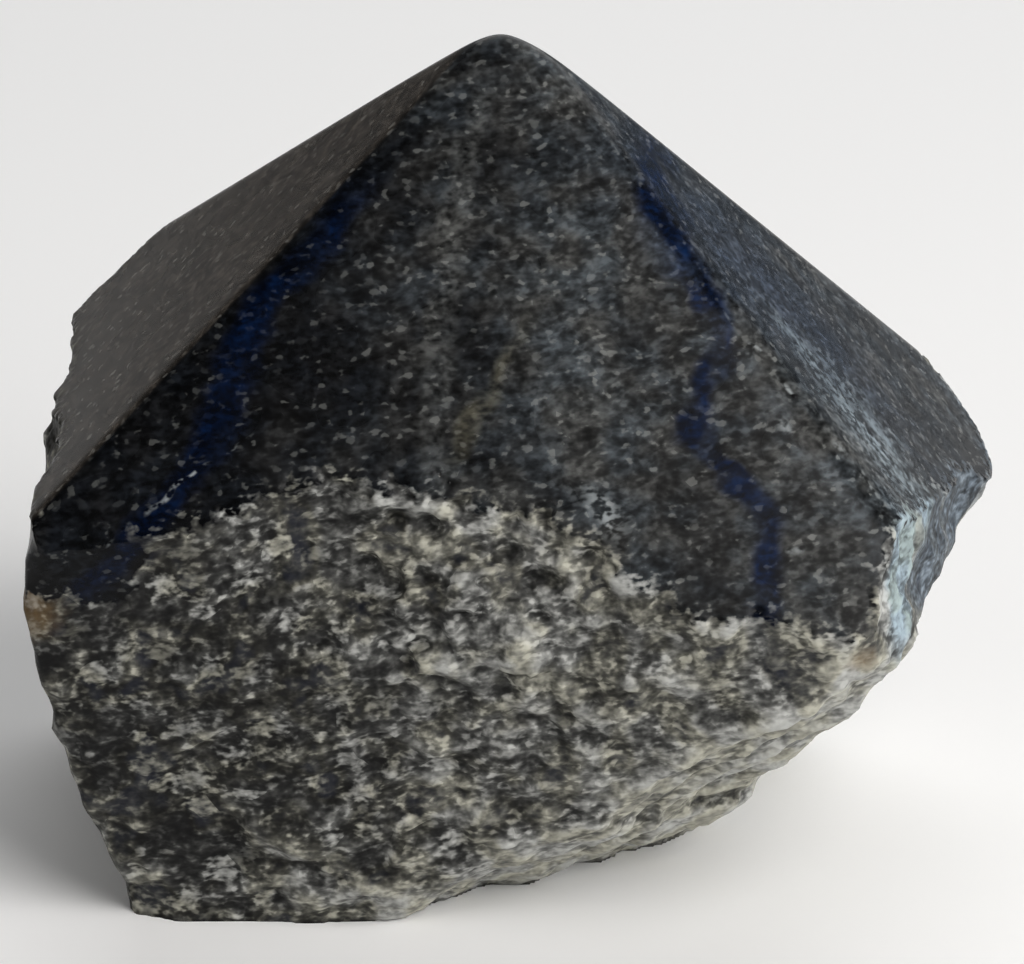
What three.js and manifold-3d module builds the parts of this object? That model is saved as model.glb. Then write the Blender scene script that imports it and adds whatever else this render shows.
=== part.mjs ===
// Blue aventurine point: a broken lump of quartzite, ground to a four-sided polished point above,
// left rough round its sides and sawn flat underneath. It is one stone, so it is one mesh.
import * as THREE from "three";
import { ImprovedNoise } from "three/addons/math/ImprovedNoise.js";
import { mergeVertices } from "three/addons/utils/BufferGeometryUtils.js";
import Module from "manifold-3d";

// Driving dimensions, in millimetres and degrees. The front of the stone looks along -Y. A bearing
// is the way a face looks, seen from above, with 0 along +X and 90 along +Y.
const TIP = new THREE.Vector3(0, 0, 68.4); // where the ground faces meet, above the sawn base
const TIP_WEAR = 1; // how far the worn tip stands below that meeting point
const LUMP_MIDDLE = new THREE.Vector3(0, 0, 25); // every break is measured from here
const LUMP_STEPS = 27; // cuts along each edge of the icosahedron that the lump starts from

// Ground faces, in order round the point. clear is how far outside the meeting point a face
// passes, and ridgeWear is how deep its ridge to the next face is rubbed down.
const GROUND_FACES = {
  front: { bearing: -90, slope: 52, clear: 0, ridgeWear: 0.75 },
  right: { bearing: -7, slope: 46.1, clear: 0, ridgeWear: 0.4 },
  back: { bearing: 77, slope: 53, clear: 0, ridgeWear: 0.45 },
  left: { bearing: 183, slope: 41.8, clear: 1.55, ridgeWear: 0.3 },
};

// Natural breaks of the lump. undercut is how far a break looks down, and reach is its distance
// from the middle of the lump. The crown is what the grinding takes away.
const BREAKS = {
  frontWall: { bearing: -94, undercut: 11, reach: 28.4 },
  leftWall: { bearing: 180, undercut: -6, reach: 40 },
  leftFoot: { bearing: 185, undercut: 16, reach: 39.3 },
  backLeftWall: { bearing: 96, undercut: 6, reach: 25.8 },
  backRightWall: { bearing: 64, undercut: 13, reach: 29 },
  backRightCorner: { bearing: 27, undercut: 12, reach: 40.5 },
  backFoot: { bearing: 84, undercut: 46, reach: 31 },
  rightFoot: { bearing: 0, undercut: 37, reach: 30.6 },
  rightFrontFoot: { bearing: -20, undercut: 42, reach: 27.6 },
  frontRightChip: { bearing: -21, undercut: -9, reach: 36.6 },
  frontRightFoot: { bearing: -58, undercut: 47, reach: 27.2 },
  crown: { bearing: 0, undercut: -90, reach: 60 },
};
const BREAK_CRISPNESS = 60; // a higher power leaves sharper edges between the breaks

// Shell-shaped scars where flakes sprang off, each given by its middle on the unscarred lump
const SCARS = {
  scoopUnderFrontFace: { at: new THREE.Vector3(-16, -31.5, 43.5), across: 30, depth: 10.5 },
  hollowBesideScoop: { at: new THREE.Vector3(4, -31, 40), across: 22, depth: 5.5 },
  biteBelowRightFace: { at: new THREE.Vector3(37.5, -9, 24), across: 20, depth: 3.2 },
  notchInLeftEdge: { at: new THREE.Vector3(-38.5, -12.5, 35), across: 9, depth: 1.6 },
  spallFromLeftFoot: { at: new THREE.Vector3(-36, 3, 10), across: 26, depth: 3.5 },
  hollowInBackWall: { at: new THREE.Vector3(-14, 28, 20), across: 34, depth: 4 },
  flakeOffBackRight: { at: new THREE.Vector3(32, 24, 26), across: 20, depth: 3.2 },
};

// Relief of the broken stone. Lumps swell and sink evenly. Clusters of grain stand out as knobs
// with creases between them, and their level keeps as much above the break as below it.
const LUMPS = {
  broad: { wavelength: 21, height: 2.2 },
  humps: { wavelength: 10, height: 1.2 },
};
const CLUSTERS = {
  knobs: { wavelength: 7, height: 1.5 },
  tornGrain: { wavelength: 3.8, height: 0.9 },
};
const CLUSTER_LEVEL = 0.25;

// The stone splits along its bedding in low wavy ledges, which show in patches
const BEDDING = { bearing: 118, dip: 24, thickness: 5.2, ledge: 1 };
const BEDDING_WAVES = { wavelength: 16, height: 3.2 };
const BEDDING_PATCHES = { wavelength: 23, hiddenBelow: -0.2, wholeAbove: 0.3 };
const BEDDING_LEVEL = 1 / 3; // mean height of a ledge, as a share of its full step

const WASTE_SIDE = 200; // side of the block of waste that each ground or sawn plane takes away
const WELD_DISTANCE = 1e-4;
const UP = new THREE.Vector3(0, 0, 1);
const DOWN = new THREE.Vector3(0, 0, -1);
const BASE = new THREE.Vector3(0, 0, 0);

const wasm = await Module();
wasm.setup();
const noise = new ImprovedNoise();

// The direction with a given bearing that looks a given angle above the level
function heading(bearing, rise) {
  const turn = THREE.MathUtils.degToRad(bearing);
  const lift = THREE.MathUtils.degToRad(rise);
  const level = Math.cos(lift);
  return new THREE.Vector3(level * Math.cos(turn), level * Math.sin(turn), Math.sin(lift));
}

function noiseAt(point, wavelength) {
  return noise.noise(point.x / wavelength, point.y / wavelength, point.z / wavelength);
}

function sumOver(features, heightOf) {
  return Object.values(features).reduce((total, feature) => total + heightOf(feature), 0);
}

// Distance from the middle of the lump to its broken skin, with the edges of the breaks worn round
const breakPlanes = Object.values(BREAKS).map(({ bearing, undercut, reach }) => {
  return heading(bearing, -undercut).divideScalar(reach);
});
function distanceToBreaks(direction) {
  const nearness = breakPlanes.map((plane) => Math.max(0, plane.dot(direction)) ** BREAK_CRISPNESS);
  return nearness.reduce((total, each) => total + each) ** (-1 / BREAK_CRISPNESS);
}

function depthOfScars(point) {
  return sumOver(SCARS, ({ at, across, depth }) => {
    const away = point.distanceTo(at) / (across / 2);
    return depth * Math.exp(-away * away);
  });
}

function heightOfLumps(point) {
  return sumOver(LUMPS, ({ wavelength, height }) => height * noiseAt(point, wavelength));
}

function heightOfClusters(point) {
  return sumOver(CLUSTERS, ({ wavelength, height }) => {
    return height * (CLUSTER_LEVEL - Math.abs(noiseAt(point, wavelength)));
  });
}

// Each bed stands proud at its top and falls back to the foot of the next
const beddingNormal = heading(BEDDING.bearing, 90 - BEDDING.dip);
function heightOfLedges(point) {
  const wave = BEDDING_WAVES.height * noiseAt(point, BEDDING_WAVES.wavelength);
  const beds = (point.dot(beddingNormal) + wave) / BEDDING.thickness;
  const upTheBed = beds - Math.floor(beds);
  const patch = noiseAt(point, BEDDING_PATCHES.wavelength);
  const { hiddenBelow, wholeAbove } = BEDDING_PATCHES;
  const shown = THREE.MathUtils.smoothstep(patch, hiddenBelow, wholeAbove);
  return BEDDING.ledge * shown * (upTheBed ** 2 - BEDDING_LEVEL);
}

function toSolid(geometry) {
  const bare = geometry.clone();
  bare.deleteAttribute("normal");
  bare.deleteAttribute("uv");
  const welded = mergeVertices(bare, WELD_DISTANCE);
  return new wasm.Manifold(new wasm.Mesh({
    numProp: 3,
    vertProperties: welded.getAttribute("position").array,
    triVerts: welded.index.array,
  }));
}

// The rough lump: an icosahedron whose points are pushed out to the broken skin
function roughLump() {
  const ball = new THREE.IcosahedronGeometry(1, LUMP_STEPS);
  const position = ball.getAttribute("position");
  const direction = new THREE.Vector3();
  const skin = new THREE.Vector3();
  for (let i = 0; i < position.count; i++) {
    direction.fromBufferAttribute(position, i).normalize();
    skin.copy(LUMP_MIDDLE).addScaledVector(direction, distanceToBreaks(direction));
    const relief = heightOfLumps(skin) + heightOfClusters(skin) + heightOfLedges(skin);
    skin.addScaledVector(direction, relief - depthOfScars(skin));
    position.setXYZ(i, skin.x, skin.y, skin.z);
  }
  return toSolid(ball);
}

// Take away all that lies beyond a plane through a point, on the side that its normal looks to
function cutBeyond(solid, point, normal) {
  const waste = new THREE.BoxGeometry(WASTE_SIDE, WASTE_SIDE, WASTE_SIDE);
  waste.translate(0, 0, WASTE_SIDE / 2);
  waste.applyQuaternion(new THREE.Quaternion().setFromUnitVectors(UP, normal));
  waste.translate(point.x, point.y, point.z);
  return solid.subtract(toSolid(waste));
}

// Grind on a plane that passes a given distance outside the tip, or inside it where negative
function grind(solid, normal, clear) {
  return cutBeyond(solid, TIP.clone().addScaledVector(normal, clear), normal);
}

// Each face is ground flat, and its ridge to the next face is rubbed down along their middle line
function groundPoint(lump) {
  const faces = Object.values(GROUND_FACES).map((face) => {
    return { ...face, normal: heading(face.bearing, 90 - face.slope) };
  });
  let solid = lump;
  faces.forEach((face, i) => {
    const next = faces[(i + 1) % faces.length];
    const middle = face.normal.clone().add(next.normal);
    const ridgeClear = (face.clear + next.clear) / middle.length();
    solid = grind(solid, face.normal, face.clear);
    solid = grind(solid, middle.normalize(), ridgeClear - face.ridgeWear);
  });
  return grind(solid, UP, -TIP_WEAR);
}

function toGeometry(solid) {
  const { vertProperties, triVerts } = solid.getMesh();
  const geometry = new THREE.BufferGeometry();
  geometry.setAttribute("position", new THREE.BufferAttribute(vertProperties, 3));
  geometry.setIndex(new THREE.BufferAttribute(triVerts, 1));
  geometry.computeVertexNormals();
  return geometry;
}

// The stone stands on its sawn base, centred over the origin
function centred(geometry) {
  geometry.computeBoundingBox();
  const middle = geometry.boundingBox.getCenter(new THREE.Vector3());
  return geometry.translate(-middle.x, -middle.y, 0);
}

const aventurine = new THREE.MeshStandardMaterial({ color: 0x33373c, roughness: 0.5, metalness: 0 });
const sawnStone = cutBeyond(groundPoint(roughLump()), BASE, DOWN);
const stone = new THREE.Mesh(centred(toGeometry(sawnStone)), aventurine);
stone.name = "aventurine_point";

const object = new THREE.Group();
object.add(stone);

export default object;
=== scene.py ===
"""Dresses a blue aventurine point: broken quartzite below, ground and polished to a blunt tip above."""

import math

import bmesh
import bpy
import numpy as np
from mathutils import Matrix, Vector, kdtree, noise


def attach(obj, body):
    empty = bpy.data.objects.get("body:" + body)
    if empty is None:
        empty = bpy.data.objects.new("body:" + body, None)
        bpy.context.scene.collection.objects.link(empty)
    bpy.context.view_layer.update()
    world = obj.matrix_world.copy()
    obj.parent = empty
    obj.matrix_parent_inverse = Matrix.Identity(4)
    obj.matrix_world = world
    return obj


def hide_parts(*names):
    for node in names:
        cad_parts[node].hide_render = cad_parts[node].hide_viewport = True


bl_info = {
    "name": "Aventurine Point",
    "version": (1, 0, 0),
    "blender": (4, 5, 0),
    "location": "View3D > Sidebar > Aventurine",
    "description": "Gives a ground quartzite point its torn grain, polish, veins and studio",
    "category": "Object",
}

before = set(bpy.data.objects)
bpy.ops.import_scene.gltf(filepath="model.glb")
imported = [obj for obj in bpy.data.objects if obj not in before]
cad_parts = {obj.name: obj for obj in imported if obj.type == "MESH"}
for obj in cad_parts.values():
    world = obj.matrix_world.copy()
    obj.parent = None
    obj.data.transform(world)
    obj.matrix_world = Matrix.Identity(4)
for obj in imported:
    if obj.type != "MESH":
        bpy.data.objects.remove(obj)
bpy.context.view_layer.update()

NODE = "aventurine_point"
MM = 0.001  # metres in a millimetre
WELD_DISTANCE = 1e-7  # metres; lengths and places of the stone below are in millimetres
MIDDLE = Vector((0, 0, 25))  # a point inside the stone, from which all of its skin is seen

# Ground faces: anything flat and larger than this was ground, and the rest was broken
SMALLEST_GROUND_FACE = 20.0  # square millimetres
FEWEST_GROUND_FACES = 4
FLAT_WITHIN = math.radians(0.4)
TIP_ROUNDING_FROM, TIP_ROUNDING_TO = 60.0, 67.0  # heights between which the rounding of the ridges grows
ROUNDS_TO_SETTLE = 3  # steps that bring a point onto the rounded surface

# Polish, and how it ends in the rough
SNAP = 0.25  # points this near to a ground or sawn face lie on it
PITS_REACH = 4.0  # how far in from the rough the polish is pitted
POLISH_LOST, POLISH_WHOLE = 0.14, 0.04  # depths under a ground face where none and where all of it is left
EDGE_WORN = 0.8  # how far the edge of the polish is worn round
# The pale grain just under the polish is partly crushed grain and partly painted light that lifts the shade
# of the hollow below it
FROST_AND_PAINTED_LIGHT, FROST_DEPTH = 0.2, 2.5  # crushed grain that gathers just under the polish, and how deep it goes
MOST_LIFT = 0.85  # torn grain takes up at most this share of the room below a ground face
FACETS_SMOOTHED = {"factor": 0.5, "iterations": 8}
EDGES_SMOOTHED = {"factor": 0.5, "iterations": 3}
GRAIN_SMOOTHED = {"factor": 0.25, "iterations": 1}
FLATS_FIRST = 1000.0  # how strongly the thinning keeps to the flats

# The skin is laid out on squares: their columns and rows, half the side of a square within its own place,
# and how far a face may run past its side
SQUARE_COLUMNS, SQUARE_ROWS = 3, 2
SQUARE_HALF, SQUARE_OVERRUN = 0.46, 1.05

# Torn grain lies flattened along the bed of the stone, and its level keeps the mean skin in place
FLAKE_FLATTENING = 1.4
CRUMB_LEVEL, CRUMB_OCTAVES = 0.42, 3
SCOOP = Vector((-4, -22, 33))  # middle of the hollow under the front face, where the knobs stand out most
SCOOP_ACROSS = 15.0
BOLDNESS, BOLDNESS_IN_SCOOP = 0.6, 1.5

# Knobs of crushed grain, from large to small: the width of their cells and where these start, the share of
# bare cells, how far the knobs stand out, whether they stand out further in the scoop, and how pale they are
KNOBS = (
    {"width": 4.2, "start": Vector((0, 0, 0)), "bare": 0.25, "rise": 1.5, "bolder": True, "pale": 0.9},
    {"width": 2.1, "start": Vector((11, 5, 3)), "bare": 0.2, "rise": 1.2, "bolder": True, "pale": 0.85},
    {"width": 1.0, "start": Vector((5, 17, 9)), "bare": 0.1, "rise": 0.8, "bolder": False, "pale": 0.7},
)
KNOB_LEVEL = 0.9
KNOB_REACH, KNOB_EDGE = 0.62, 0.2  # as shares of the cell that a knob lies in
RAGGED_EDGES = ((1.4, 0.6), (0.6, 0.22))  # wavelength and reach of the waves in the edges of the knobs
CELL_SHUFFLE = 7.31  # sets neighbouring cells apart before each draws its chance
WAVES_SEED = 7  # of the waves in the grain, which would otherwise follow the clock

# Where a break looks down it follows the beds, and their edges stand out as long seams
UNDERCUT_FROM = -0.15  # upward part of the skin's normal where the beds begin to show
UNDERCUT_OVER = 0.3  # and how much less of it is left where they show whole
BED_RUN = Vector((0.773, -0.189, 0.606))  # the way that the beds run across the undercut
BED_STRETCH = 0.9
BED_WAVELENGTH, BED_WAVES = 5.0, 1.2
SEAM_WAVELENGTH = 3.4
SEAM_WIDTH, SEAM_STEEPNESS = 1.1, 3.2
SEAM_LEVEL = 0.4
GRAIN_LOST_UNDER = 0.5

# More crushed grain: on the undercut, on its seams, in the scoop, on the crumbs and near the foot
UNDERCUT_CRUSHED, SEAM_CRUSHED, SCOOP_CRUSHED = 0.6, 0.5, 0.3
CRUMB_CRUSHED, CRUMB_CRUSHED_IN_SCOOP = 0.4, 0.7
FOOT_CRUSHED, FOOT_HEIGHT = 0.25, 9.0

# Lower grain: on breaks that look left, by the rightward part of their normal, and where the stone is rubbed
LEFT_BREAK_FROM, LEFT_BREAK_OVER = -0.4, 0.4
LEFT_BREAK_LOWER, RUBBED_LOWER = 0.8, 0.8

# Places on the right shoulder where the broken stone is rubbed smooth, at the lower left where the polish
# runs on below its face, and where the torn stone is stained brown: the middle of each and its radius
RUBBED = (
    (Vector((37, -1.5, 29.5)), 9.0),
    (Vector((33, -13, 29)), 8.0),
    (Vector((37.5, 10, 31)), 9.0),
)
POLISH_RUNS_ON = (
    (Vector((-36, -25.2, 33.0)), 3.6),
    (Vector((-32.2, -24.8, 32.6)), 3.8),
)
RUN_ON_WAVELENGTH = 1.7
STAINS = (
    (Vector((-37.4, -23.2, 28.4)), 3.2),
    (Vector((26.6, -28.7, 26.2)), 1.5),
)

# Markings in the frame of the part. A sheet runs through the stone from front to back, and is given by its
# place across the stone at each height. A streak is a long lens round two points on the skin.
SHEETS = {
    "left band": {
        "half": 2.5,
        "trace": {30: -33, 35.8: -28, 40.9: -23.4, 47.9: -20.6, 52.5: -16.6, 57: -12.6},
    },
    "right vein": {
        "half": 1.8,
        "trace": {
            23: 22, 29.5: 19.1, 34.5: 19.6, 38.3: 17.4, 42.1: 14, 47.3: 16, 51.7: 13.8, 56: 11.5, 59: 10,
        },
    },
    "pale streak": {"half": 1.7, "trace": {38: -6.6, 53.2: -5, 64: -2.6}},
}
SHEET_CORE = 0.3  # share of the half width over which a sheet is whole
SHEET_END = 2.0
STREAKS = {
    "quartz": [
        {"start": (21.5, -7, 45.5), "end": (26.5, -9, 40.5), "half": 3.4},
        {"start": (26.5, -9, 40.5), "end": (31, -14, 35), "half": 7.2},
        {"start": (30.3, -19.5, 35.5), "end": (29.9, -24.2, 27.6), "half": 4.2},
    ],
    "white": [
        {"start": (28.6, -26, 33.3), "end": (28.8, -26.9, 28.4), "half": 1.1},
        {"start": (20.3, -25.5, 33.6), "end": (29.8, -23.1, 33.4), "half": 0.3},
        {"start": (20.7, -19.1, 41.9), "end": (21.2, -19.3, 41.5), "half": 0.6},
        {"start": (17, -13, 48.4), "end": (29.4, -21.5, 35.7), "half": 0.42},
        {"start": (-21.6, -20, 40.5), "end": (-31, -24.7, 34.6), "half": 0.32},
        {"start": (5, -22.6, 37.6), "end": (7.6, -23.9, 35.6), "half": 1.5},
    ],
    # Painted highlight: a pale blue spot where the top of the right ridge catches the light
    "light blue highlight": [
        {"start": (11.4, -8.8, 54.4), "end": (13.8, -10.8, 51.7), "half": 2.0},
    ],
    # Over the right ground face: partly the stone's blue-grey, partly a painted cool sheen that darkens and
    # blues it
    "blue grey sheen": [
        {"start": (14.9, -2, 53.2), "end": (27, -3, 40), "half": 12},
    ],
    "olive": [
        {"start": (0.5, -14.5, 47.5), "end": (-4.7, -20.9, 39.5), "half": 1.1},
    ],
}
STREAK_REACH = 0.75  # how far a lens reaches from its middle, as a share of the run between its two points
STREAK_WIDTH = 1.1  # and to its sides, as a share of its half width

# Pattern of the stone: how far veins and grains wander, and the widths and raggedness of grains and clumps
VEIN_WANDER, GRAIN_WANDER = 3.0, 0.7
BED_TILT = math.radians(8)
BED_FLATTENING = 1.6
GRAIN_ACROSS, GRAIN_RAGGED = 0.95, 2.0
CLUMP_ACROSS, CLUMP_RAGGED = 3.2, 1.0
GRAIN_CORE = 0.1  # share of its width within which a grain is whole
LUMPS = {"bare": 0.0, "radius": 0.65}
MICA = {"bare": 0.4, "radius": 0.38}
BLUE_PATCHES, BLUE_EVEN = 0.35, 0.65  # how much of the blue comes in patches, and how much is even
RIDGE_RUN = Vector((0.585, -0.484, -0.653))  # down the ridge between the front and the right face
RIDGE_STRETCH = 0.9
LEFT_FACE_LOOKS = Vector((-0.666, -0.035, 0.745))  # the way that the left ground face looks
LEFT_FACE_REACH = 52.07  # and its distance from the origin
NOISES = {
    "wander": {"size": 3.4, "detail": 1.5},
    "swell": {"size": 7.0, "detail": 1.0},
    "fine": {"size": 0.8, "detail": 1.6, "roughness": 0.55},
    "mottle": {"size": 2.4, "detail": 1.5, "roughness": 0.55},
    "ribbons": {"size": 1.5, "detail": 1.0},
    "relief": {"size": 0.8, "detail": 1.0},
}

# What makes the stone paler, with the weight of each. For grain and crushed grain e is raised to the sum.
GRAIN_RECIPE = {"fine": 6.0, "mottle": 4.5, "lumps": 0.8, "level": -5.15}
MOST_GRAIN = 3.0
# The torn stone pales towards the right partly in its own tone and partly as painted light from the right
CRUSHED_RECIPE = {
    "lumps": 1.7, "fine": 5.5, "mottle": 4.5, "crust": 2.5, "paler_and_lit_right": 2.4, "quartz_zone": 1.5,
    "level": -9.1,
}
MOST_CRUSHED = 1.0
CLUMP_FINE, CLUMP_LEVEL = 1.6, -0.36
# The polished stone pales towards the right partly in its own clouds and partly as painted light from the
# right
CLOUD_SWELL, CLOUD_AND_LIGHT_RIGHT = 1.2, 0.8
# Mica specks: partly pale mica, partly painted glints
MICA_GRAINS, MICA_IN_STREAK = 0.36, 0.25
# The mica shows more through the painted sheen of the left ground face
MICA_SHOWS = {"tone": 0.5, "left_face_sheen": 0.4, "level": 0.45}

# Values between which each mask fades in, or out where the first is the greater
FADES = {
    "paler and lit to the right": (-38, 34),
    "left face sheen": (LEFT_FACE_REACH - 0.2, LEFT_FACE_REACH - 0.05),
    "clump chance": (0.4, 0.9),
    "clump rim": (0.6, 0.2),
    "blue patches": (0.4, 0.55),
    "white flecks": (0.4, 0.6),
    "clouds and light to the right": (-30, 8),
    "clouds": (0.75, 1.75),
    "polish": (0.01, 0.3),
    "polished hue": (0.35, 0.65),
    "pale streak": (0.2, 0.8),
    "mica off the blue": (1.6, 0.0),
    "ribbons": (0.2, 0.7),
    "ribbon grain": (0.0, 1.6),
    "olive": (0.2, 0.7),
    "torn quartz": (0.0, 0.5),
    "torn hue": (0.4, 0.6),
    "rubbed off the quartz": (0.7, 0.1),
    "torn blue": (0.55, 0.7),
    "relief": (0.02, 0.25),
}

# How far each marking covers the stone under it, and the cool and warm hue that the stone varies between
POLISHED_COVER = {
    "blue_grey_sheen": 0.8, "light_blue_highlight": 0.6, "left_face_sheen": 0.9, "quartz": 0.55, "olive": 0.45, "white": 0.48,
}
TORN_COVER = {"rubbed": 0.85, "deep_vein": 0.6, "torn_blue": 0.3, "white": 0.7, "stain": 0.5}
POLISHED_HUES = (0.92, 1.0, 1.07, 1.0), (1.05, 1.0, 0.93, 1.0)
TORN_HUES = (0.97, 1.0, 1.03, 1.0), (1.0, 1.0, 0.9, 1.0)

# Finish of the stone
POLISHED_ROUGHNESS, POLISHED_SWELL = 0.2, 0.14
TORN_ROUGHNESS, CRUSHED_ROUGHNESS = 0.5, 0.9
QUARTZ_IOR = 1.54
SPECULAR_LEVEL = 0.1
RELIEF_LEVEL, RELIEF_STRENGTH, RELIEF_HEIGHT = 0.5, 0.6, 0.4

# Studio. Each light has the way to it from the stone, its distance and side in metres, its watts and tint.
AIM = Vector((-0.19, 2.06, 29.0))  # what the camera and the lights look at
FOCAL_LENGTH, SENSOR_WIDTH = 143.4375, 36.0
CLIP_START = 0.01  # metres
FLOOR_RADIUS, FLOOR_SIDES = 3.0, 96  # metres, and the number of its sides
WALLS_MEET = (-0.5, 0.5)  # how far left and right the light of the two walls runs together
CEILING_RISE = (0.05, 0.5)  # how far up the light of the ceiling begins, and where it is whole
LIGHTS = {
    "key": {
        "way": (0.55, -0.55, 0.63), "distance": 0.7, "side": 0.55, "watts": 5.2, "tint": (1.0, 0.98, 0.96),
    },
    "overhead": {
        "way": (0.1, 0.75, 0.75), "distance": 0.9, "side": 0.9, "watts": 4.8, "tint": (1.0, 1.0, 1.0),
    },
    "left fill": {
        "way": (-0.8, -0.45, 0.4), "distance": 0.8, "side": 0.6, "watts": 1.2, "tint": (1.0, 0.99, 0.97),
    },
    "low fill": {
        "way": (0.85, -0.5, 0.08), "distance": 0.6, "side": 0.3, "watts": 1.1, "tint": (1.0, 0.99, 0.97),
    },
}


class StoneShape(bpy.types.PropertyGroup):
    """Sizes of the torn grain and of the polish that ends in it."""

    cell: bpy.props.FloatProperty(
        name="Mesh Cell", description="Cell of the fine mesh", default=0.37 * MM, unit="LENGTH", precision=5
    )
    most_triangles: bpy.props.IntProperty(
        name="Most Triangles", description="Flat parts are thinned until this few are left", default=192000
    )
    ridge_radius: bpy.props.FloatProperty(
        name="Ridge Rounding", description="How softly the ground faces run together", default=0.25 * MM,
        unit="LENGTH", precision=5,
    )
    tip_radius: bpy.props.FloatProperty(
        name="Tip Rounding", description="How softly they run together at the tip", default=0.45 * MM,
        unit="LENGTH", precision=5,
    )
    crumb: bpy.props.FloatProperty(
        name="Crumb", description="Width of the crumbs of torn grain", default=2.5 * MM,
        unit="LENGTH", precision=5,
    )
    crumb_height: bpy.props.FloatProperty(
        name="Crumb Height", description="How far a crumb stands out", default=0.75 * MM,
        unit="LENGTH", precision=5,
    )
    knob_height: bpy.props.FloatProperty(
        name="Knob Height", description="How far a knob of crushed grain stands out", default=0.3 * MM,
        unit="LENGTH", precision=5,
    )
    seam_height: bpy.props.FloatProperty(
        name="Seam Height", description="How far the edge of a bed stands out below", default=0.6 * MM,
        unit="LENGTH", precision=5,
    )
    polish_rise: bpy.props.FloatProperty(
        name="Polish Rise", description="Stone ground away for each millimetre in from the rough", default=0.3
    )


class StoneColours(bpy.types.PropertyGroup):
    """Colours of the stone, as linear light."""

    dark: bpy.props.FloatVectorProperty(
        name="Dark Quartzite", description="The polished stone at its darkest", subtype="COLOR",
        default=(0.0045, 0.005, 0.006),
    )
    pale: bpy.props.FloatVectorProperty(
        name="Grey Quartzite", description="The paler clouds in the polished stone", subtype="COLOR",
        default=(0.041, 0.0438, 0.0455),
    )
    # Painted sheen: the warm reflection of the left ground face at a grazing view, painted into its colour
    left_face_sheen: bpy.props.FloatVectorProperty(
        name="Left Face", description="The brownish polish of the left ground face", subtype="COLOR",
        default=(0.035, 0.03, 0.025),
    )
    # Partly the stone's blue-grey, partly the cool sheen of the right ground face painted into its colour
    blue_grey_sheen: bpy.props.FloatVectorProperty(
        name="Blue Grey", description="The blue-grey polish of the right ground face", subtype="COLOR",
        default=(0.022, 0.03, 0.046),
    )
    # Painted highlight: the pale blue spot where the top of the right ridge catches the light
    light_blue_highlight: bpy.props.FloatVectorProperty(
        name="Light Blue", description="The light patch at the top of the right ridge", subtype="COLOR",
        default=(0.05, 0.07, 0.11),
    )
    # Partly the pale colour of the mica, partly its glints painted as bright specks
    mica: bpy.props.FloatVectorProperty(
        name="Mica", description="Specks of mica", subtype="COLOR", default=(0.27, 0.275, 0.26)
    )
    deep_vein: bpy.props.FloatVectorProperty(
        name="Deep Vein", description="The blue band on the left", subtype="COLOR",
        default=(0.0004, 0.0024, 0.01),
    )
    vein: bpy.props.FloatVectorProperty(
        name="Blue Vein", description="The blue vein on the right", subtype="COLOR",
        default=(0.0009, 0.005, 0.02),
    )
    quartz: bpy.props.FloatVectorProperty(
        name="Pale Quartz", description="The clouded quartz at the right ridge", subtype="COLOR",
        default=(0.355, 0.43, 0.475),
    )
    olive: bpy.props.FloatVectorProperty(
        name="Olive Streak", description="The olive streak on the front", subtype="COLOR",
        default=(0.12, 0.11, 0.07),
    )
    white: bpy.props.FloatVectorProperty(
        name="White Flecks", description="White flecks on the ridges and the right corner", subtype="COLOR",
        default=(0.5, 0.54, 0.55),
    )
    torn_dark: bpy.props.FloatVectorProperty(
        name="Torn Stone, Deep", description="The broken stone in its hollows", subtype="COLOR",
        default=(0.004, 0.004, 0.004),
    )
    torn_pale: bpy.props.FloatVectorProperty(
        name="Torn Stone, Crushed", description="Crushed grain on the broken stone", subtype="COLOR",
        default=(0.47, 0.46, 0.425),
    )
    torn_blue: bpy.props.FloatVectorProperty(
        name="Torn Stone, Blue", description="Blue patches in the broken stone", subtype="COLOR",
        default=(0.016, 0.021, 0.04),
    )
    rubbed: bpy.props.FloatVectorProperty(
        name="Rubbed Stone", description="The rubbed stone of the right shoulder", subtype="COLOR",
        default=(0.075, 0.095, 0.118),
    )
    stain: bpy.props.FloatVectorProperty(
        name="Rust Stain", description="Brown stain at the edges", subtype="COLOR",
        default=(0.15, 0.095, 0.04),
    )


class StageSettings(bpy.types.PropertyGroup):
    """The camera and its light."""

    elevation: bpy.props.FloatProperty(
        name="Elevation", description="Height of the camera above the level", default=math.radians(21),
        subtype="ANGLE",
    )
    distance: bpy.props.FloatProperty(
        name="Distance", description="From the camera to the stone", default=0.34, unit="LENGTH"
    )
    floor: bpy.props.FloatVectorProperty(
        name="Floor", description="Pale floor", subtype="COLOR", default=(0.9, 0.9, 0.9)
    )
    warm_wall: bpy.props.FloatVectorProperty(
        name="Left Wall", description="Light of the studio from the left", subtype="COLOR",
        default=(0.1, 0.088, 0.077),
    )
    cool_wall: bpy.props.FloatVectorProperty(
        name="Right Wall", description="Light of the studio from the right", subtype="COLOR",
        default=(0.1, 0.13, 0.17),
    )
    ceiling: bpy.props.FloatVectorProperty(
        name="Ceiling", description="Light of the studio overhead", subtype="COLOR",
        default=(0.04, 0.04, 0.04),
    )


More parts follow.
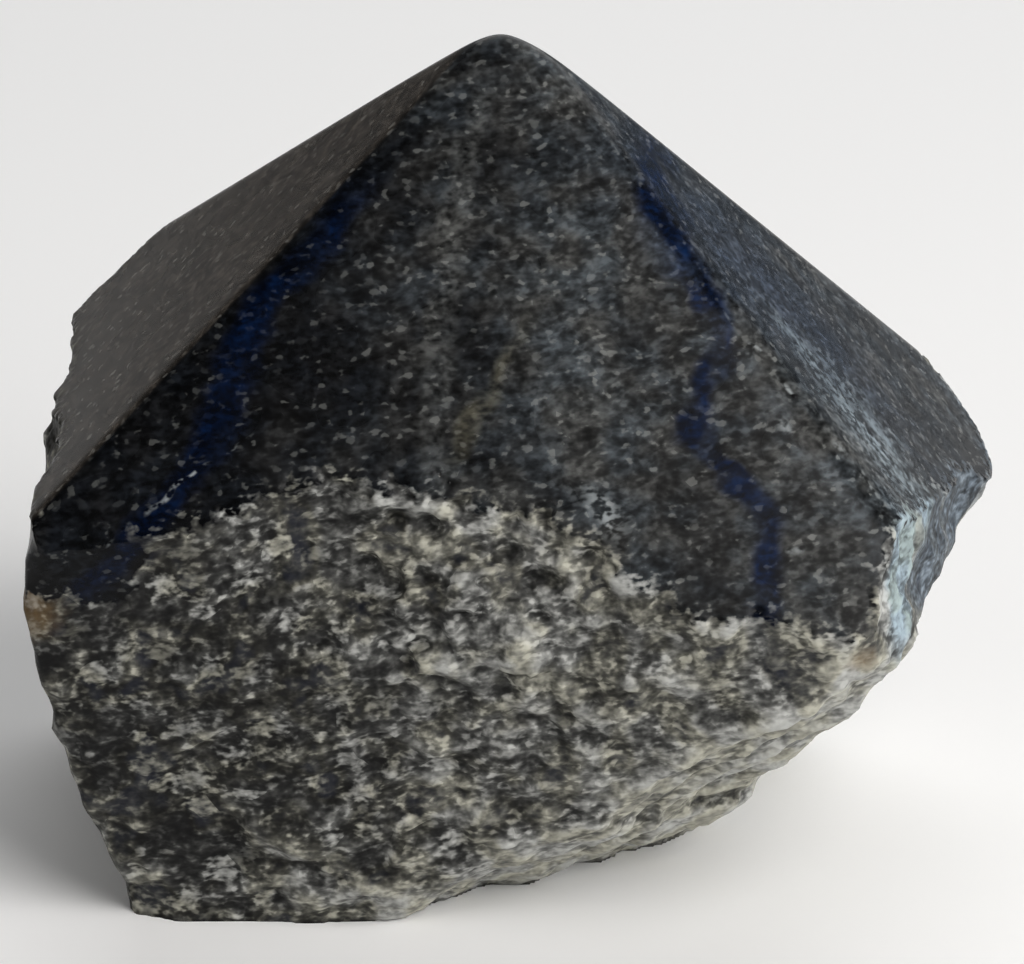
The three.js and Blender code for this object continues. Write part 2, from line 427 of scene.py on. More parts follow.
class GroundSurface:
    """The ground faces of the stone, run together with a rounding that grows at the tip, in millimetres."""

    def __init__(self, mesh, ridge_rounding, tip_rounding):
        bm = bmesh.new()
        bm.from_mesh(mesh)
        bmesh.ops.remove_doubles(bm, verts=bm.verts, dist=WELD_DISTANCE)
        bmesh.ops.dissolve_limit(bm, angle_limit=FLAT_WITHIN, verts=bm.verts, edges=bm.edges)
        ground = [f for f in bm.faces if f.calc_area() / MM**2 > SMALLEST_GROUND_FACE and f.normal.z > 0]
        if len(ground) < FEWEST_GROUND_FACES:
            raise RuntimeError("the stone has fewer ground faces than a point needs")
        self.normals = np.array([f.normal[:] for f in ground])
        self.reach = np.array([f.normal.dot(f.calc_center_median()) / MM for f in ground])
        self.ridge_rounding = ridge_rounding
        self.tip_rounding = tip_rounding
        bm.free()

    def above(self, points):
        """Height of each point above the ground surface, and the way up from it."""
        share = np.clip((points[:, 2:] - TIP_ROUNDING_FROM) / (TIP_ROUNDING_TO - TIP_ROUNDING_FROM), 0, 1)
        rounding = self.ridge_rounding + (self.tip_rounding - self.ridge_rounding) * share**2
        heights = points @ self.normals.T - self.reach
        highest = heights.max(axis=1, keepdims=True)
        share = np.exp((heights - highest) / rounding)
        total = share.sum(axis=1, keepdims=True)
        up = (share / total) @ self.normals
        return (highest + rounding * np.log(total))[:, 0], up

    def onto(self, points, chosen):
        """Move the chosen points onto the ground surface."""
        for _ in range(ROUNDS_TO_SETTLE):
            height, up = self.above(points[chosen])
            points[chosen] -= up * (height / (up**2).sum(axis=1))[:, None]


def read_points(mesh, what="co"):
    points = np.zeros(len(mesh.vertices) * 3)
    mesh.vertices.foreach_get(what, points)
    return points.reshape(-1, 3)


def write_points(mesh, points):
    mesh.vertices.foreach_set("co", (points * MM).astype(np.float32).ravel())
    mesh.update()


def with_modifier(mesh, kind, chosen=None, **settings):
    """A new mesh: the old one, or the chosen points of it, put through one modifier."""
    holder = bpy.data.objects.new("holder", mesh)
    bpy.context.scene.collection.objects.link(holder)
    modifier = holder.modifiers.new(kind, kind)
    if chosen is not None:
        holder.vertex_groups.new(name="chosen").add(np.flatnonzero(chosen).tolist(), 1.0, "REPLACE")
        modifier.vertex_group = "chosen"
    for name, value in settings.items():
        setattr(modifier, name, value)
    changed = holder.evaluated_get(bpy.context.evaluated_depsgraph_get())
    result = bpy.data.meshes.new_from_object(changed)
    bpy.data.objects.remove(holder)
    return result


def fine_copy(mesh, cell):
    """The CAD stone as an even fine mesh."""
    bm = bmesh.new()
    bm.from_mesh(mesh)
    bmesh.ops.remove_doubles(bm, verts=bm.verts, dist=WELD_DISTANCE)
    welded = bpy.data.meshes.new("welded")
    bm.to_mesh(welded)
    bm.free()
    return with_modifier(welded, "REMESH", mode="VOXEL", voxel_size=cell)


def smooth_step(value):
    """A smooth rise from 0 to 1 while the value goes from 0 to 1, and level on either side."""
    value = min(1.0, max(0.0, value))
    return value * value * (3 - 2 * value)


def covered(point, places):
    """How far a point lies inside any of the places, from 0 at their rims to 1 half-way in."""
    return max(smooth_step(2 - 2 * (point - middle).length / radius) for middle, radius in places)


def knob(point, width, bare):
    """How far a knob of crushed grain covers a point, from 0 to 1. A given share of the cells holds none."""
    distance, corners = noise.voronoi(point / width)
    chance = 0.5 + 0.5 * noise.cell(corners[0] * CELL_SHUFFLE)
    reach = KNOB_REACH * (chance - bare) / (1 - bare)
    return smooth_step((reach - distance[0]) / KNOB_EDGE)


def knobs_at(point, bold):
    """How far the knobs stand out at a point, against their mean level, and how pale they are there."""
    ragged = point.copy()
    for wavelength, reach in RAGGED_EDGES:
        ragged += noise.noise_vector(point / wavelength) * reach
    rise = 0.0
    pale = 0.0
    for kind in KNOBS:
        cover = knob(ragged + kind["start"], kind["width"], kind["bare"])
        rise += kind["rise"] * (bold if kind["bolder"] else 1.0) * cover
        pale = max(pale, kind["pale"] * cover)
    return rise - KNOB_LEVEL, pale


def seam_at(point):
    """How far the edge of a bed stands out at a point, from 0 to 1."""
    along = point - BED_RUN * (point.dot(BED_RUN) * BED_STRETCH)
    along += noise.noise_vector(point / BED_WAVELENGTH) * BED_WAVES
    return smooth_step(SEAM_WIDTH - SEAM_STEEPNESS * abs(noise.noise(along / SEAM_WAVELENGTH)))


def torn_height(point, normal, shape):
    """Height of the torn grain at a point in millimetres, and how much crushed grain lies on it."""
    flat = Vector((point.x, point.y, point.z * FLAKE_FLATTENING))
    crumb = CRUMB_LEVEL - noise.turbulence(flat / (shape.crumb / MM), CRUMB_OCTAVES, True)
    hollow = math.exp(-((point - SCOOP).length / SCOOP_ACROSS) ** 2)
    bold = BOLDNESS + BOLDNESS_IN_SCOOP * hollow
    rise, crushed = knobs_at(flat, bold)
    height = shape.crumb_height / MM * bold * crumb
    height += shape.knob_height / MM * rise

    seam = seam_at(point)
    undercut = smooth_step((UNDERCUT_FROM - normal.z) / UNDERCUT_OVER)
    height += undercut * (shape.seam_height / MM * (seam - SEAM_LEVEL) - GRAIN_LOST_UNDER * height)
    crushed += undercut * (UNDERCUT_CRUSHED + SEAM_CRUSHED * seam - GRAIN_LOST_UNDER * crushed)
    crushed += SCOOP_CRUSHED * hollow
    crushed += FOOT_CRUSHED * smooth_step(1 - point.z / FOOT_HEIGHT)
    crushed += (CRUMB_CRUSHED + CRUMB_CRUSHED_IN_SCOOP * hollow) * crumb

    height *= 1 - LEFT_BREAK_LOWER * smooth_step((LEFT_BREAK_FROM - normal.x) / LEFT_BREAK_OVER)
    height *= 1 - RUBBED_LOWER * covered(point, RUBBED + POLISH_RUNS_ON)
    return height, crushed


def true_faces(mesh, ground):
    """Smooth the facets out of the broken skin, and set the rest on the ground faces or on the base.

    Gives the new mesh, its points, and which of them are broken and which are sawn."""
    points = read_points(mesh) / MM
    height, _ = ground.above(points)
    sawn = points[:, 2] < SNAP
    broken = (height < -SNAP) & ~sawn
    mesh = with_modifier(mesh, "SMOOTH", chosen=broken, **FACETS_SMOOTHED)
    points = read_points(mesh) / MM
    ground.onto(points, ~broken & ~sawn)
    points[sawn, 2] = 0
    write_points(mesh, points)
    return mesh, points, broken, sawn


def tree_of(points, chosen):
    """A tree that finds the nearest of the chosen points."""
    tree = kdtree.KDTree(int(chosen.sum()))
    for i in np.flatnonzero(chosen):
        tree.insert(points[i], int(i))
    tree.balance()
    return tree


def wear_edges(mesh, ground, edge, broken, sawn):
    """Wear the edge of the polish round, and keep the skin under the ground faces and above the base."""
    mesh = with_modifier(mesh, "SMOOTH", chosen=edge, **EDGES_SMOOTHED)
    mesh = with_modifier(mesh, "SMOOTH", chosen=broken, **GRAIN_SMOOTHED)
    points = read_points(mesh) / MM
    points[:, 2] = np.maximum(points[:, 2], 0)
    points[sawn, 2] = 0
    height, _ = ground.above(points)
    ground.onto(points, height > 0)
    write_points(mesh, points)
    return mesh, points


def tear_grain(mesh, ground, shape):
    """Raise torn grain on the broken skin, keep the ground faces true, and record which is which.

    Gives the new mesh and which of its points lie well inside a flat."""
    noise.seed_set(WAVES_SEED)
    mesh, points, broken, sawn = true_faces(mesh, ground)
    rest = points.copy()
    normals = [Vector(normal) for normal in read_points(mesh, "normal")]
    rough = tree_of(points, broken)
    height, _ = ground.above(points)
    flat = sawn.copy()
    inside, crust, rust, rubbed, runs_on = np.zeros((5, len(points)))
    for i in np.flatnonzero(~sawn):
        place = Vector(points[i])
        away = 0.0 if broken[i] else rough.find(place)[2]
        if away > PITS_REACH:
            flat[i] = True
            inside[i] = PITS_REACH
            continue
        lift, crust[i] = torn_height(place, normals[i], shape)
        if broken[i]:
            lift = min(lift, -MOST_LIFT * height[i])
        else:
            lift = min(0.0, lift + away * shape.polish_rise)
            inside[i] = away
        points[i] += np.array(normals[i]) * lift
        rust[i] = covered(place, STAINS)
        rubbed[i] = covered(place, RUBBED)
        runs_on[i] = covered(place + noise.noise_vector(place / RUN_ON_WAVELENGTH), POLISH_RUNS_ON)
    # Partly crushed grain, partly painted light that lifts the shade just under the polish
    crust += FROST_AND_PAINTED_LIGHT * np.exp(np.minimum(height, 0) / FROST_DEPTH)
    write_points(mesh, points)
    edge = (height > -EDGE_WORN) & (inside < EDGE_WORN) & ~sawn
    mesh, points = wear_edges(mesh, ground, edge, broken, sawn)

    height, _ = ground.above(points)
    polish = np.clip((height + POLISH_LOST) / (POLISH_LOST - POLISH_WHOLE), 0, 1) * inside / PITS_REACH
    polish = np.maximum(polish, runs_on)
    polish[points[:, 2] < SNAP] = 0
    for name, values in (("polish", polish), ("crust", crust), ("rust", rust), ("rubbed", rubbed)):
        attribute = mesh.attributes.new(name, "FLOAT", "POINT")
        attribute.data.foreach_set("value", values.astype(np.float32))
    attribute = mesh.attributes.new("rest", "FLOAT_VECTOR", "POINT")
    attribute.data.foreach_set("vector", rest.astype(np.float32).ravel())
    return mesh, flat


def thin_flats(mesh, flat, most):
    """Collapse triangles inside the flats until few enough are left."""
    count = sum(len(face.vertices) - 2 for face in mesh.polygons)
    ratio = min(1.0, most / count)
    return with_modifier(mesh, "DECIMATE", chosen=flat, ratio=ratio, vertex_group_factor=FLATS_FIRST)


def along_axis(rows, axis):
    """From each row, its value along the axis given for that row."""
    return np.take_along_axis(rows, axis[:, None], axis=1)[:, 0]


def in_square(column_or_row, offset, count):
    """Place on the layout of an offset inside a given column or row."""
    return (column_or_row + 0.5 + SQUARE_HALF * np.clip(offset, -SQUARE_OVERRUN, SQUARE_OVERRUN)) / count


def unwrap_from_middle(mesh):
    """Lay the skin out on six squares, as it is seen from the middle of the stone."""
    rest = np.zeros(len(mesh.vertices) * 3)
    mesh.attributes["rest"].data.foreach_get("vector", rest)
    corners = np.zeros(len(mesh.loops), dtype=np.int32)
    mesh.loops.foreach_get("vertex_index", corners)
    away = (rest.reshape(-1, 3) - np.array(MIDDLE))[corners]
    starts = np.zeros(len(mesh.polygons), dtype=np.int32)
    totals = np.zeros(len(mesh.polygons), dtype=np.int32)
    mesh.polygons.foreach_get("loop_start", starts)
    mesh.polygons.foreach_get("loop_total", totals)

    # Each face goes to the square that it looks through most, and its corners are seen along that axis
    facing = np.add.reduceat(away, starts, axis=0)
    axis = np.abs(facing).argmax(axis=1)
    square = np.repeat(axis * 2 + (along_axis(facing, axis) > 0), totals)
    axis = np.repeat(axis, totals)
    ahead = np.abs(along_axis(away, axis))
    u = along_axis(away, (axis + 1) % 3) / ahead
    v = along_axis(away, (axis + 2) % 3) / ahead
    layer = mesh.uv_layers.new(name="OFBake")
    place = np.stack([
        in_square(square % SQUARE_COLUMNS, u, SQUARE_COLUMNS),
        in_square(square // SQUARE_COLUMNS, v, SQUARE_ROWS),
    ], axis=1)
    layer.uv.foreach_set("vector", place.astype(np.float32).ravel())
    mesh.attributes.remove(mesh.attributes["rest"])


class AVENTURINE_OT_stone(bpy.types.Operator):
    """Build the stone around its CAD solid"""

    bl_idname = "aventurine.stone"
    bl_label = "Build Stone"

    def execute(self, context):
        shape = context.scene.aventurine_shape
        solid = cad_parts[NODE].data
        ground = GroundSurface(solid, shape.ridge_radius / MM, shape.tip_radius / MM)
        fine = fine_copy(solid, shape.cell)
        torn, flat = tear_grain(fine, ground, shape)
        mesh = thin_flats(torn, flat, shape.most_triangles)
        unwrap_from_middle(mesh)
        mesh.name = "stone"
        mesh.shade_smooth()
        mesh.materials.clear()
        mesh.materials.append(stone_material(context.scene.aventurine_colours))
        stone = bpy.data.objects.new("aventurine_stone", mesh)
        context.scene.collection.objects.link(stone)
        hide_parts(NODE)
        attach(stone, "root")
        return {"FINISHED"}


class NodePen:
    """Adds nodes to a tree. An input is a plain value or another node's output."""

    def __init__(self, tree):
        self.tree = tree

    def add(self, kind, inputs=None, **settings):
        node = self.tree.nodes.new(kind)
        for name, value in settings.items():
            setattr(node, name, value)
        for name, value in (inputs or {}).items():
            self.feed(node.inputs[name], value)
        return node

    def feed(self, socket, value):
        if isinstance(value, bpy.types.NodeSocket):
            self.tree.links.new(value, socket)
        else:
            socket.default_value = value

    def math(self, operation, *values, clamp=False):
        node = self.add("ShaderNodeMath", dict(enumerate(values)), operation=operation, use_clamp=clamp)
        return node.outputs[0]

    def times(self, first, second):
        return self.math("MULTIPLY", first, second)

    def vector(self, operation, *values):
        node = self.add("ShaderNodeVectorMath", dict(enumerate(values)), operation=operation)
        return node.outputs["Value" if operation == "DOT_PRODUCT" else "Vector"]

    def scaled(self, vector, factor):
        node = self.add("ShaderNodeVectorMath", {0: vector, "Scale": factor}, operation="SCALE")
        return node.outputs["Vector"]

    def smooth(self, value, low, high):
        """0 below low and 1 above high, or the other way round where low is the greater."""
        inputs = {"Value": value, "From Min": low, "From Max": high}
        return self.add("ShaderNodeMapRange", inputs, interpolation_type="SMOOTHSTEP").outputs[0]

    def fade(self, value, name):
        return self.smooth(value, *FADES[name])

    def mix(self, factor, first, second, blend="MIX"):
        node = self.add("ShaderNodeMix", {0: factor, 6: first, 7: second}, data_type="RGBA", blend_type=blend)
        return node.outputs[2]

    def lay(self, under, colour, mask, cover):
        """A colour laid over the one under it, as far as a mask and a cover say."""
        return self.mix(self.times(mask, cover), under, colour)

    def blend(self, factor, first, second):
        return self.add("ShaderNodeMix", {0: factor, 2: first, 3: second}, data_type="FLOAT").outputs[0]

    def noise(self, position, size, detail, roughness=0.5):
        """Noise whose swells are a given number of millimetres across."""
        inputs = {"Vector": position, "Scale": 1 / size, "Detail": detail, "Roughness": roughness}
        return self.add("ShaderNodeTexNoise", inputs).outputs

    def weighted(self, *terms):
        """Sum of values, each with its weight."""
        total = 0.0
        for value, weight in terms:
            total = self.math("MULTIPLY_ADD", value, weight, total)
        return total

    def soft_limit(self, value, most):
        """The value while it is small, then less and less of it, so that it never passes the most."""
        return self.math("DIVIDE", value, self.math("MULTIPLY_ADD", value, 1 / most, 1.0))


class StonePattern:
    """The places, noises and masks that the polished and the torn stone share."""

    def __init__(self, pen):
        self.pen = pen
        # The second of these holds pale crushed grain, with painted light just under the polish
        self.ground, self.crust, self.rust, self.rubbed = (
            pen.add("ShaderNodeAttribute", attribute_name=name).outputs["Fac"]
            for name in ("polish", "crust", "rust", "rubbed")
        )

        # Places in millimetres: as they are, waved for the veins, and stirred and flattened for the grain
        place = pen.add("ShaderNodeTexCoord").outputs["Object"]
        self.place = pen.add("ShaderNodeMapping", {"Vector": place, "Scale": (1 / MM,) * 3}).outputs["Vector"]
        wander = pen.noise(self.place, **NOISES["wander"])
        self.tint = wander["Fac"]
        wander = pen.vector("SUBTRACT", wander["Color"], (0.5, 0.5, 0.5))
        self.wavy = pen.vector("ADD", self.place, pen.scaled(wander, VEIN_WANDER))
        stirred = pen.vector("ADD", self.place, pen.scaled(wander, GRAIN_WANDER))
        tilted = pen.add("ShaderNodeMapping", {"Vector": stirred, "Rotation": (0, BED_TILT, 0)})
        self.bedded = pen.vector("MULTIPLY", tilted.outputs["Vector"], (1, 1, BED_FLATTENING))
        self.across, _, self.up = pen.add("ShaderNodeSeparateXYZ", {0: self.wavy}).outputs

        # Grain, its lumps and the clumps of crushed grain
        self.swell = pen.noise(self.place, **NOISES["swell"])["Fac"]
        self.fine = pen.noise(self.bedded, **NOISES["fine"])["Fac"]
        self.mottle = pen.noise(self.bedded, **NOISES["mottle"])["Fac"]
        self.chance, shade, self.off_middle = self.scattered(GRAIN_ACROSS, GRAIN_RAGGED)
        self.lumps = self.grains(shade, **LUMPS)
        self.grain = pen.soft_limit(pen.math("EXPONENT", self.sum_of(GRAIN_RECIPE)), MOST_GRAIN)
        chance, _, off_middle = self.scattered(CLUMP_ACROSS, CLUMP_RAGGED)
        self.clumps = pen.times(pen.fade(chance, "clump chance"), pen.fade(off_middle, "clump rim"))

        # Parts of the stone that differ in tone, partly painted light that pales them towards the right, and
        # the markings that run from the polish into the rough
        self.paler_and_lit_right = pen.fade(self.across, "paler and lit to the right")
        # Mask of the left ground face, where its painted sheen is laid
        self.left_face_sheen = pen.fade(pen.vector("DOT_PRODUCT", self.place, LEFT_FACE_LOOKS), "left face sheen")
        # Partly the stone's clouds, partly painted light from the right
        clouds_and_light_right = pen.fade(self.across, "clouds and light to the right")
        self.tone = pen.fade(pen.weighted((self.swell, CLOUD_SWELL), (clouds_and_light_right, CLOUD_AND_LIGHT_RIGHT)), "clouds")
        blue = pen.math("MAXIMUM", self.sheet("left band"), self.sheet("right vein"))
        patches = pen.fade(self.tint, "blue patches")
        self.blue = pen.times(blue, pen.math("MULTIPLY_ADD", patches, BLUE_PATCHES, BLUE_EVEN))
        self.quartz_zone = self.streaks("quartz")
        self.white = pen.times(self.streaks("white"), pen.fade(self.fine, "white flecks"))

    def sum_of(self, recipe):
        """Sum of the values that a recipe names, with its weights and its level."""
        terms = [(1.0 if name == "level" else getattr(self, name), weight) for name, weight in recipe.items()]
        return self.pen.weighted(*terms)

    def scattered(self, across, ragged):
        """Grains of a given width and raggedness.

        Gives two random values for each grain, and how far a place is off its middle."""
        pen = self.pen
        cells = pen.add("ShaderNodeTexVoronoi", {"Vector": self.bedded, "Scale": 1 / across}).outputs
        chance, shade, _ = pen.add("ShaderNodeSeparateColor", {0: cells["Color"]}).outputs
        off_middle = pen.weighted((cells["Distance"], 1.0), (self.fine, -ragged), (0.5, ragged))
        return chance, shade, off_middle

    def grains(self, chance, bare, radius):
        """Mask of the grains that show: none below a given chance, and strongest in their middles."""
        shown = self.pen.smooth(chance, bare, 1.0)
        return self.pen.times(shown, self.pen.smooth(self.off_middle, radius, GRAIN_CORE))

    def ribbons(self):
        """Noise drawn out into ribbons that run down the right ridge."""
        pen = self.pen
        run = pen.times(pen.vector("DOT_PRODUCT", self.place, RIDGE_RUN), RIDGE_STRETCH)
        drawn_out = pen.vector("SUBTRACT", self.wavy, pen.scaled(RIDGE_RUN, run))
        return pen.fade(pen.noise(drawn_out, **NOISES["ribbons"])["Fac"], "ribbons")

    def sheet(self, name):
        """Mask of a sheet, by its distance from the trace at this height."""
        pen = self.pen
        half = SHEETS[name]["half"]
        trace = sorted(SHEETS[name]["trace"].items())
        low, high = trace[0][0], trace[-1][0]
        left = min(across for _, across in trace)
        width = max(across for _, across in trace) - left
        share = pen.math("DIVIDE", pen.math("SUBTRACT", self.up, low), high - low)
        curve = pen.add("ShaderNodeFloatCurve", {"Value": share})
        points = curve.mapping.curves[0].points
        for point, (up, across) in zip(points, (trace[0], trace[-1])):
            point.location = (up - low) / (high - low), (across - left) / width
        for up, across in trace[1:-1]:
            points.new((up - low) / (high - low), (across - left) / width)
        curve.mapping.update()
        middle = pen.math("MULTIPLY_ADD", curve.outputs[0], width, left)
        away = pen.math("ABSOLUTE", pen.math("SUBTRACT", self.across, middle))
        mask = pen.smooth(away, half, SHEET_CORE * half)
        lower_end = pen.smooth(self.up, low - SHEET_END, low + SHEET_END)
        upper_end = pen.smooth(self.up, high + SHEET_END, high - SHEET_END)
        return pen.times(mask, pen.times(lower_end, upper_end))

    def streaks(self, name):
        """The strongest mask of all the streaks of one kind: 1 in the middle of a streak and 0 at its rim."""
        nearness = 0.0
        for mark in STREAKS[name]:
            start, end = Vector(mark["start"]), Vector(mark["end"])
            run = end - start
            width = STREAK_WIDTH * mark["half"]
            lens = self.pen.add("ShaderNodeTexGradient", {"Vector": self.wavy}, gradient_type="SPHERICAL")
            lens.texture_mapping.vector_type = "TEXTURE"
            lens.texture_mapping.translation = (start + end) / 2
            lens.texture_mapping.rotation = run.to_track_quat("X", "Z").to_euler()
            lens.texture_mapping.scale = (STREAK_REACH * run.length + mark["half"], width, width)
            nearness = self.pen.math("MAXIMUM", nearness, lens.outputs["Fac"])
        return self.pen.smooth(nearness, 0.0, 1.0)


def polished_stone(stone, paint):
    """Colour of the polished stone: clouds and grain that pale rightwards partly as painted light, veins,
    painted sheens on the side faces, a painted highlight on the right ridge, then mica with painted glints
    and pale quartz.
    """
    pen = stone.pen
    colour = pen.mix(stone.tone, paint["dark"], paint["pale"])
    hue = pen.mix(pen.fade(stone.tint, "polished hue"), *POLISHED_HUES)
    colour = pen.mix(1.0, colour, hue, "MULTIPLY")
    # Partly the stone's blue-grey, partly a painted cool sheen over the right ground face
    blue_grey_sheen = stone.streaks("blue grey sheen")
    colour = pen.lay(colour, paint["blue_grey_sheen"], blue_grey_sheen, POLISHED_COVER["blue_grey_sheen"])
    # Painted highlight at the top of the right ridge
    colour = pen.lay(colour, paint["light_blue_highlight"], stone.streaks("light blue highlight"), POLISHED_COVER["light_blue_highlight"])
    colour = pen.mix(stone.blue, colour, pen.mix(stone.paler_and_lit_right, paint["deep_vein"], paint["vein"]))
    # Painted sheen: the warm reflection of the left ground face, laid into its colour
    colour = pen.lay(colour, paint["left_face_sheen"], stone.left_face_sheen, POLISHED_COVER["left_face_sheen"])
    colour = pen.mix(1.0, colour, stone.grain, "MULTIPLY")

    in_streak = pen.times(stone.sheet("pale streak"), pen.fade(stone.fine, "pale streak"))
    # Partly pale mica, partly painted glints: the sparkle of the mica painted into the colour
    specks_and_glints = pen.weighted((stone.grains(stone.chance, **MICA), MICA_GRAINS), (in_streak, MICA_IN_STREAK))
    specks_and_glints = pen.times(specks_and_glints, stone.sum_of(MICA_SHOWS))
    off_blue = pen.fade(pen.math("MAXIMUM", stone.blue, blue_grey_sheen), "mica off the blue")
    colour = pen.mix(pen.math("MULTIPLY", specks_and_glints, off_blue, clamp=True), colour, paint["mica"])

    ribbons = pen.times(stone.ribbons(), pen.fade(stone.grain, "ribbon grain"))
    colour = pen.lay(colour, paint["quartz"], pen.times(stone.quartz_zone, ribbons), POLISHED_COVER["quartz"])
    olive = pen.times(stone.streaks("olive"), pen.fade(stone.fine, "olive"))
    colour = pen.lay(colour, paint["olive"], olive, POLISHED_COVER["olive"])
    return pen.lay(colour, paint["white"], stone.white, POLISHED_COVER["white"])


def crushed_grain(stone):
    """How much pale crushed grain lies on the torn stone, from 0 to 1, with painted light that pales it
    towards the right and just under the polish.
    """
    pen = stone.pen
    crushed = pen.soft_limit(pen.math("EXPONENT", stone.sum_of(CRUSHED_RECIPE)), MOST_CRUSHED)
    clumps = pen.times(stone.clumps, pen.math("MULTIPLY_ADD", stone.fine, CLUMP_FINE, CLUMP_LEVEL))
    return pen.math("MAXIMUM", crushed, clumps)


def torn_stone(stone, paint, crushed):
    """Colour of the torn stone: pale crushed grain on what stands out, paler towards the right and just under
    the polish partly as painted light, and dark glassy stone between.
    """
    pen = stone.pen
    pale = pen.mix(pen.fade(stone.quartz_zone, "torn quartz"), paint["torn_pale"], paint["quartz"])
    colour = pen.mix(crushed, paint["torn_dark"], pale)
    hue = pen.mix(pen.fade(stone.tint, "torn hue"), *TORN_HUES)
    colour = pen.mix(1.0, colour, hue, "MULTIPLY")
    rubbed = pen.times(stone.rubbed, pen.fade(stone.quartz_zone, "rubbed off the quartz"))
    rubbed_colour = pen.mix(1.0, paint["rubbed"], stone.grain, "MULTIPLY")
    colour = pen.lay(colour, rubbed_colour, rubbed, TORN_COVER["rubbed"])
    colour = pen.lay(colour, paint["deep_vein"], stone.blue, TORN_COVER["deep_vein"])
    colour = pen.lay(colour, paint["torn_blue"], pen.fade(stone.tint, "torn blue"), TORN_COVER["torn_blue"])
    colour = pen.lay(colour, paint["white"], stone.white, TORN_COVER["white"])
    return pen.lay(colour, paint["stain"], stone.rust, TORN_COVER["stain"])


def stone_material(colours):
    """Dark polished quartzite with its veins and mica, and the same stone torn pale where it broke."""
    material = bpy.data.materials.new("aventurine")
    material.use_nodes = True
    shader = material.node_tree.nodes["Principled BSDF"].inputs
    pen = NodePen(material.node_tree)
    stone = StonePattern(pen)
    paint = {name: (*getattr(colours, name), 1.0) for name in StoneColours.__annotations__}
    polish = pen.fade(pen.math("DIVIDE", stone.ground, stone.grain), "polish")
    crushed = crushed_grain(stone)
    colour = pen.mix(polish, torn_stone(stone, paint, crushed), polished_stone(stone, paint))
    pen.feed(shader["Base Color"], colour)
    gloss = pen.math("MULTIPLY_ADD", stone.swell, POLISHED_SWELL, POLISHED_ROUGHNESS)
    dull = pen.blend(crushed, TORN_ROUGHNESS, CRUSHED_ROUGHNESS)
    pen.feed(shader["Roughness"], pen.blend(polish, dull, gloss))
    shader["IOR"].default_value = QUARTZ_IOR
    shader["Specular IOR Level"].default_value = SPECULAR_LEVEL
    relief = pen.noise(stone.place, **NOISES["relief"])["Fac"]
    relief = pen.blend(pen.fade(stone.ground, "relief"), relief, RELIEF_LEVEL)
    bump = {"Height": relief, "Strength": RELIEF_STRENGTH, "Distance": RELIEF_HEIGHT * MM}
    pen.feed(shader["Normal"], pen.add("ShaderNodeBump", bump).outputs["Normal"])
    return material


def lay_floor(scene, colour):
    """A round pale floor under the stone."""
    bm = bmesh.new()
    bmesh.ops.create_circle(bm, cap_ends=True, segments=FLOOR_SIDES, radius=FLOOR_RADIUS)
    mesh = bpy.data.meshes.new("floor")
    bm.to_mesh(mesh)
    bm.free()
    material = bpy.data.materials.new("floor")
    material.use_nodes = True
    paint = material.node_tree.nodes["Principled BSDF"].inputs
    paint["Base Color"].default_value = (*colour, 1)
    paint["Roughness"].default_value = 1.0
    paint["Specular IOR Level"].default_value = 0.0
    mesh.materials.append(material)
    floor = bpy.data.objects.new("floor", mesh)
    scene.collection.objects.link(floor)


def light_walls(scene, stage):
    """Soft light all round: warm from the left, cool from the right and dim overhead."""
    world = bpy.data.worlds.new("studio")
    world.use_nodes = True
    pen = NodePen(world.node_tree)
    way = pen.add("ShaderNodeTexCoord").outputs["Generated"]
    right, _, rise = pen.add("ShaderNodeSeparateXYZ", {0: way}).outputs
    wall = pen.mix(pen.smooth(right, *WALLS_MEET), (*stage.warm_wall, 1), (*stage.cool_wall, 1))
    wall = pen.mix(pen.smooth(rise, *CEILING_RISE), wall, (*stage.ceiling, 1))
    pen.feed(world.node_tree.nodes["Background"].inputs["Color"], wall)
    scene.world = world


def add_looking_at_stone(scene, name, data, toward, distance):
    """Set a camera or a light at a distance from the stone in a given direction, turned to the stone."""
    thing = bpy.data.objects.new(name, data)
    thing.location = AIM * MM + toward * distance
    thing.rotation_mode = "QUATERNION"
    thing.rotation_quaternion = (-toward).to_track_quat("-Z", "Y")
    scene.collection.objects.link(thing)
    return thing


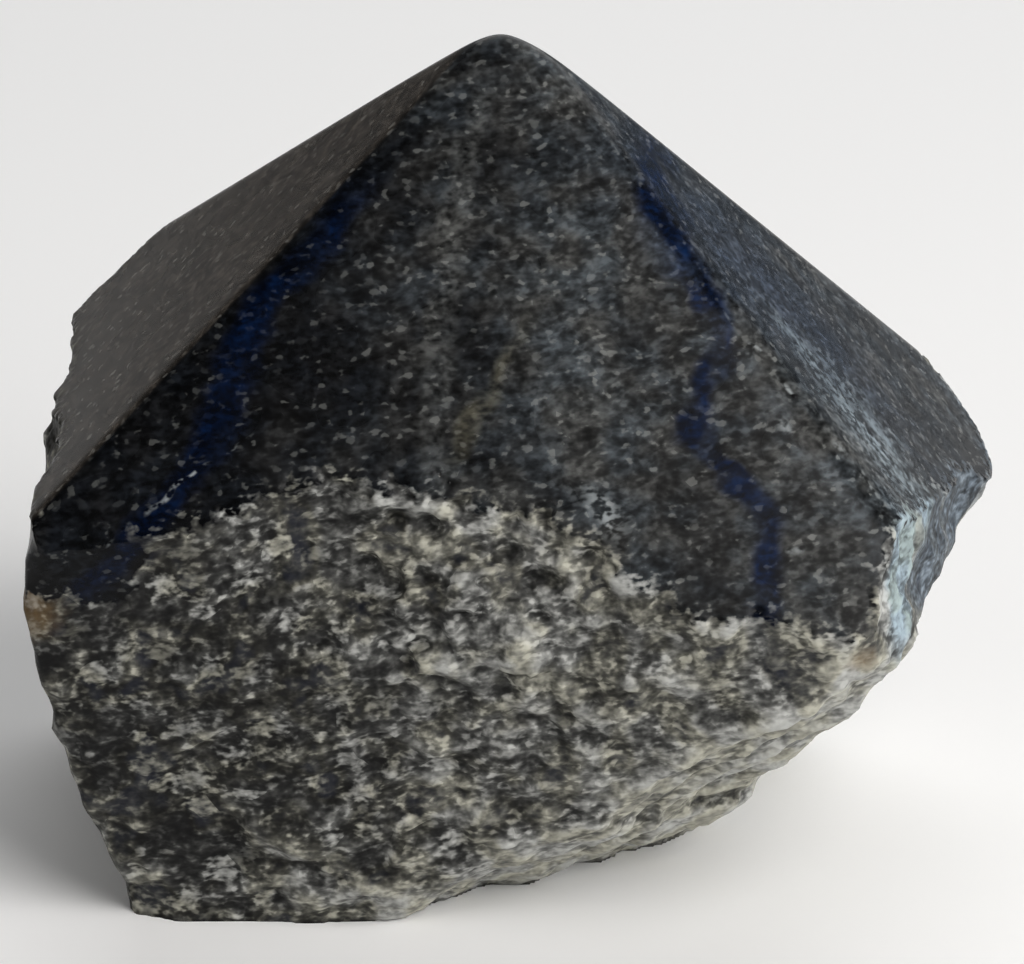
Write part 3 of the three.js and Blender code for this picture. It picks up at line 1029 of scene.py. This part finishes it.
def set_camera(scene, stage):
    """A camera that looks down on the front of the stone."""
    lens = bpy.data.cameras.new("camera")
    lens.sensor_fit = "HORIZONTAL"
    lens.sensor_width = SENSOR_WIDTH
    lens.lens = FOCAL_LENGTH
    lens.clip_start = CLIP_START
    toward = Vector((0, -math.cos(stage.elevation), math.sin(stage.elevation)))
    scene.camera = add_looking_at_stone(scene, "camera", lens, toward, stage.distance)


def hang_lights(scene):
    """Square soft lights that the camera doesn't see."""
    for name, light in LIGHTS.items():
        lamp = bpy.data.lights.new(name, "AREA")
        lamp.energy = light["watts"]
        lamp.size = light["side"]
        lamp.color = light["tint"]
        toward = Vector(light["way"]).normalized()
        hung = add_looking_at_stone(scene, name, lamp, toward, light["distance"])
        hung.visible_camera = False


class AVENTURINE_OT_stage(bpy.types.Operator):
    """Set the floor, the lights and the camera"""

    bl_idname = "aventurine.stage"
    bl_label = "Set Stage"

    def execute(self, context):
        scene = context.scene
        stage = scene.aventurine_stage
        lay_floor(scene, stage.floor)
        light_walls(scene, stage)
        set_camera(scene, stage)
        hang_lights(scene)
        scene.view_settings.view_transform = "Standard"
        return {"FINISHED"}


class AVENTURINE_PT_panel(bpy.types.Panel):
    """Lists the steps that dress the stone"""

    bl_idname = "AVENTURINE_PT_panel"
    bl_label = "Aventurine Point"
    bl_space_type = "VIEW_3D"
    bl_region_type = "UI"
    bl_category = "Aventurine"

    def draw(self, context):
        for step in STEPS:
            self.layout.operator(step.bl_idname)


SETTINGS = {
    "aventurine_shape": StoneShape,
    "aventurine_colours": StoneColours,
    "aventurine_stage": StageSettings,
}
STEPS = (AVENTURINE_OT_stone, AVENTURINE_OT_stage)
CLASSES = (*SETTINGS.values(), *STEPS, AVENTURINE_PT_panel)


def register():
    for each in CLASSES:
        bpy.utils.register_class(each)
    for name, group in SETTINGS.items():
        setattr(bpy.types.Scene, name, bpy.props.PointerProperty(type=group))


def unregister():
    for name in SETTINGS:
        delattr(bpy.types.Scene, name)
    for each in reversed(CLASSES):
        bpy.utils.unregister_class(each)


def main():
    register()
    bpy.ops.aventurine.stone()
    bpy.ops.aventurine.stage()


if __name__ == "__main__":
    main()
